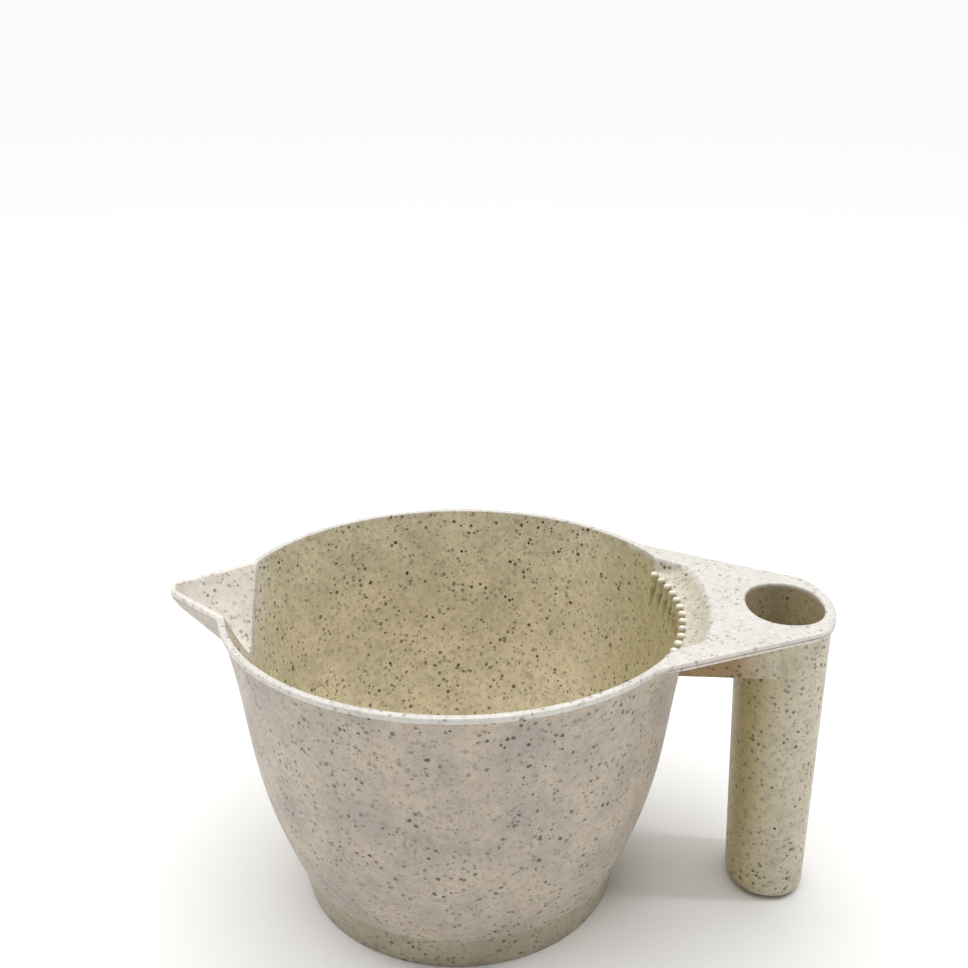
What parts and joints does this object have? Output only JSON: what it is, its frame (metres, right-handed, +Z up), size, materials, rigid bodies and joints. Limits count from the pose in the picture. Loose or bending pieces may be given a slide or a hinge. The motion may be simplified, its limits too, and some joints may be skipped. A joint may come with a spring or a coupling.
{
  "type": "hair color bowl",
  "caption": "Round mixing bowl for hair colour with a foot ring, a V pouring spout, a brush-wiping comb and a hollow handle that holds the brush.",
  "frame": {"origin": "centre of the bounding box's underside, on the plane of the foot ring's flat bottom face, which is the surface the bowl stands on", "axes": "+X from the bowl towards the grip, along the whole length; +Y to the bowl's side; +Z up, along the bowl's axis. The bowl axis is at x = -0.0107 m, y = 0. The XZ plane is a mirror plane."},
  "size_m": [0.1826, 0.13, 0.088],
  "materials": {
    "bowl_plastic": "satin moulded wheat-straw polypropylene, cream with fine dark specks",
    "deck_plastic": "satin moulded wheat-straw polypropylene, pale cream with fine dark specks",
    "grip_plastic": "satin moulded wheat-straw polypropylene, cream with a green cast and fine dark specks",
    "foot_plastic": "satin moulded wheat-straw polypropylene, cream with a green cast and fine dark specks"
  },
  "bodies": {
    "root": {"bowl_shell": "bowl_plastic", "foot_ring": "foot_plastic", "rim_lip_front": "bowl_plastic", "rim_lip_back": "bowl_plastic", "pouring_spout": "bowl_plastic", "handle_deck": "deck_plastic", "deck_web_front": "grip_plastic", "deck_web_back": "grip_plastic", "grip_tube": "grip_plastic", "comb_tooth_01": "deck_plastic", "comb_tooth_02": "deck_plastic", "comb_tooth_03": "deck_plastic", "comb_tooth_04": "deck_plastic", "comb_tooth_05": "deck_plastic", "comb_tooth_06": "deck_plastic", "comb_tooth_07": "deck_plastic", "comb_tooth_08": "deck_plastic", "comb_tooth_09": "deck_plastic", "comb_tooth_10": "deck_plastic", "comb_tooth_11": "deck_plastic", "comb_tooth_12": "deck_plastic", "comb_tooth_13": "deck_plastic"}
  },
  "joints": []
}
